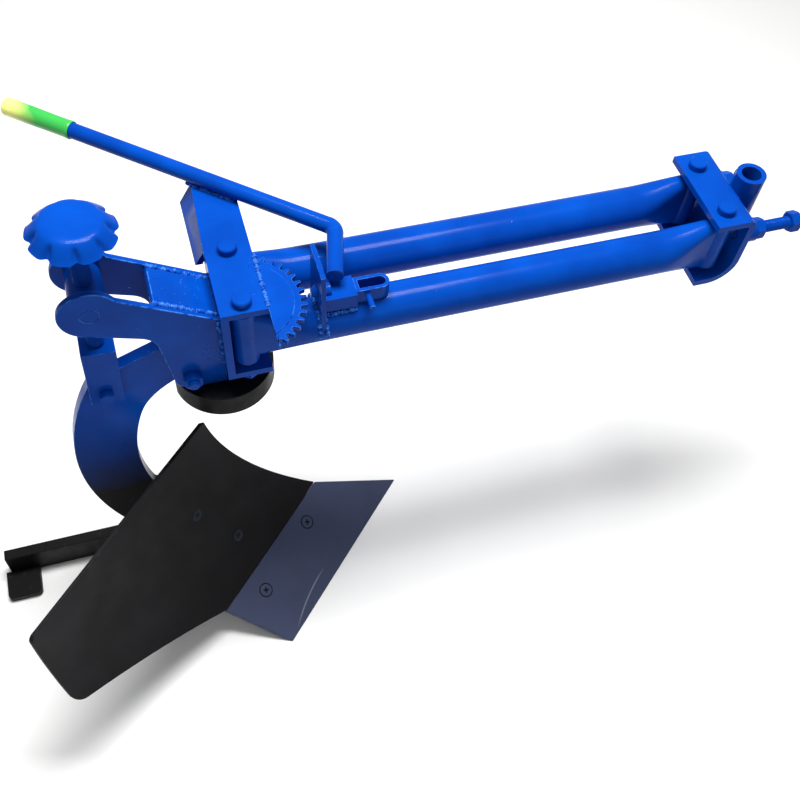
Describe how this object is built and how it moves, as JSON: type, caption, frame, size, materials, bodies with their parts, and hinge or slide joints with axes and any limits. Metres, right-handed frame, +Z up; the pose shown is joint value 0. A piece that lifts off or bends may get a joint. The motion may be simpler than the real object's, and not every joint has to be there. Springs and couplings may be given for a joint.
{
  "type": "mouldboard plough attachment for a walking tractor",
  "caption": "Single-furrow plough on a parallelogram of two tube beams, with a pin hitch, a toothed offset lock, a depth screw with a scalloped hand wheel and a right-hand mouldboard body.",
  "frame": {"origin": "ground level, at the middle of the plough's box", "axes": "+X forward along the beams to the hitch, +Y left, +Z up"},
  "size_m": [1.238, 0.695, 0.7765],
  "materials": {
    "blue_paint": "gloss enamel over steel, with weld spatter and chips",
    "leg_paint": "gloss blue enamel that fades to black dip towards the foot",
    "black_paint": "satin black dip paint",
    "black_steel": "satin black lacquer on rolled plate, lightly scratched",
    "grip_plastic": "dipped soft plastic, green to yellow"
  },
  "bodies": {
    "hitch": {"hitch_channel": "blue_paint", "pin_tube": "blue_paint", "front_pivot_right": "blue_paint", "front_pivot_left": "blue_paint", "steady_screw_right": "blue_paint", "steady_screw_left": "blue_paint"},
    "beam_right": {"beam_right": "blue_paint", "latch_plate": "blue_paint", "latch_bolt": "blue_paint", "pull_loop": "blue_paint"},
    "beam_left": {"beam_left": "blue_paint"},
    "rear_bracket": {"rear_channel": "blue_paint", "toothed_sector": "blue_paint", "skirt": "black_paint", "rear_pivot_right": "blue_paint", "rear_pivot_left": "blue_paint", "cheek_right": "blue_paint", "cheek_left": "blue_paint", "cheek_web": "blue_paint", "body_pivot_bolt": "blue_paint", "lever": "blue_paint", "grip": "grip_plastic"},
    "trunnion": {"trunnion": "blue_paint"},
    "screw": {"depth_screw": "blue_paint", "hand_wheel": "blue_paint", "yoke": "blue_paint"},
    "plough_body": {"leg": "leg_paint", "yoke_bolt": "blue_paint", "landside": "black_paint", "heel": "black_paint", "frog": "black_paint", "mouldboard": "black_steel", "share": "black_steel"}
  },
  "joints": [
    {"name": "swing", "type": "hinge", "parent": "hitch", "child": "beam_right", "pos_m": [0.49, -0.07571, 0.575], "axis": [0, 0, 1], "range_deg": [-20, 20]},
    {"name": "swing_left", "type": "hinge", "parent": "hitch", "child": "beam_left", "pos_m": [0.49, 0.01429, 0.575], "axis": [0, 0, 1], "range_deg": [-20, 20]},
    {"name": "bracket_swing", "type": "hinge", "parent": "beam_right", "child": "rear_bracket", "pos_m": [-0.183, -0.07571, 0.575], "axis": [0, 0, 1], "range_deg": [-20, 20]},
    {"name": "pitch", "type": "hinge", "parent": "rear_bracket", "child": "plough_body", "pos_m": [-0.258, -0.03071, 0.497], "axis": [0, 1, 0], "range_deg": [-8, 8]},
    {"name": "trunnion_tilt", "type": "hinge", "parent": "rear_bracket", "child": "trunnion", "pos_m": [-0.363, -0.03071, 0.655], "axis": [0, 1, 0], "range_deg": [-2, 2]},
    {"name": "screw_slide", "type": "slide", "parent": "trunnion", "child": "screw", "axis": [0.054, 0, 0.9985], "range_m": [-0.0165, 0.0165]}
  ],
  "couplings": [
    {"joint": "swing_left", "follows": "swing", "ratio": 1},
    {"joint": "bracket_swing", "follows": "swing", "ratio": -1},
    {"joint": "trunnion_tilt", "follows": "pitch", "ratio": 0.17902},
    {"joint": "screw_slide", "follows": "pitch", "m_per_rad": 0.11338}
  ]
}
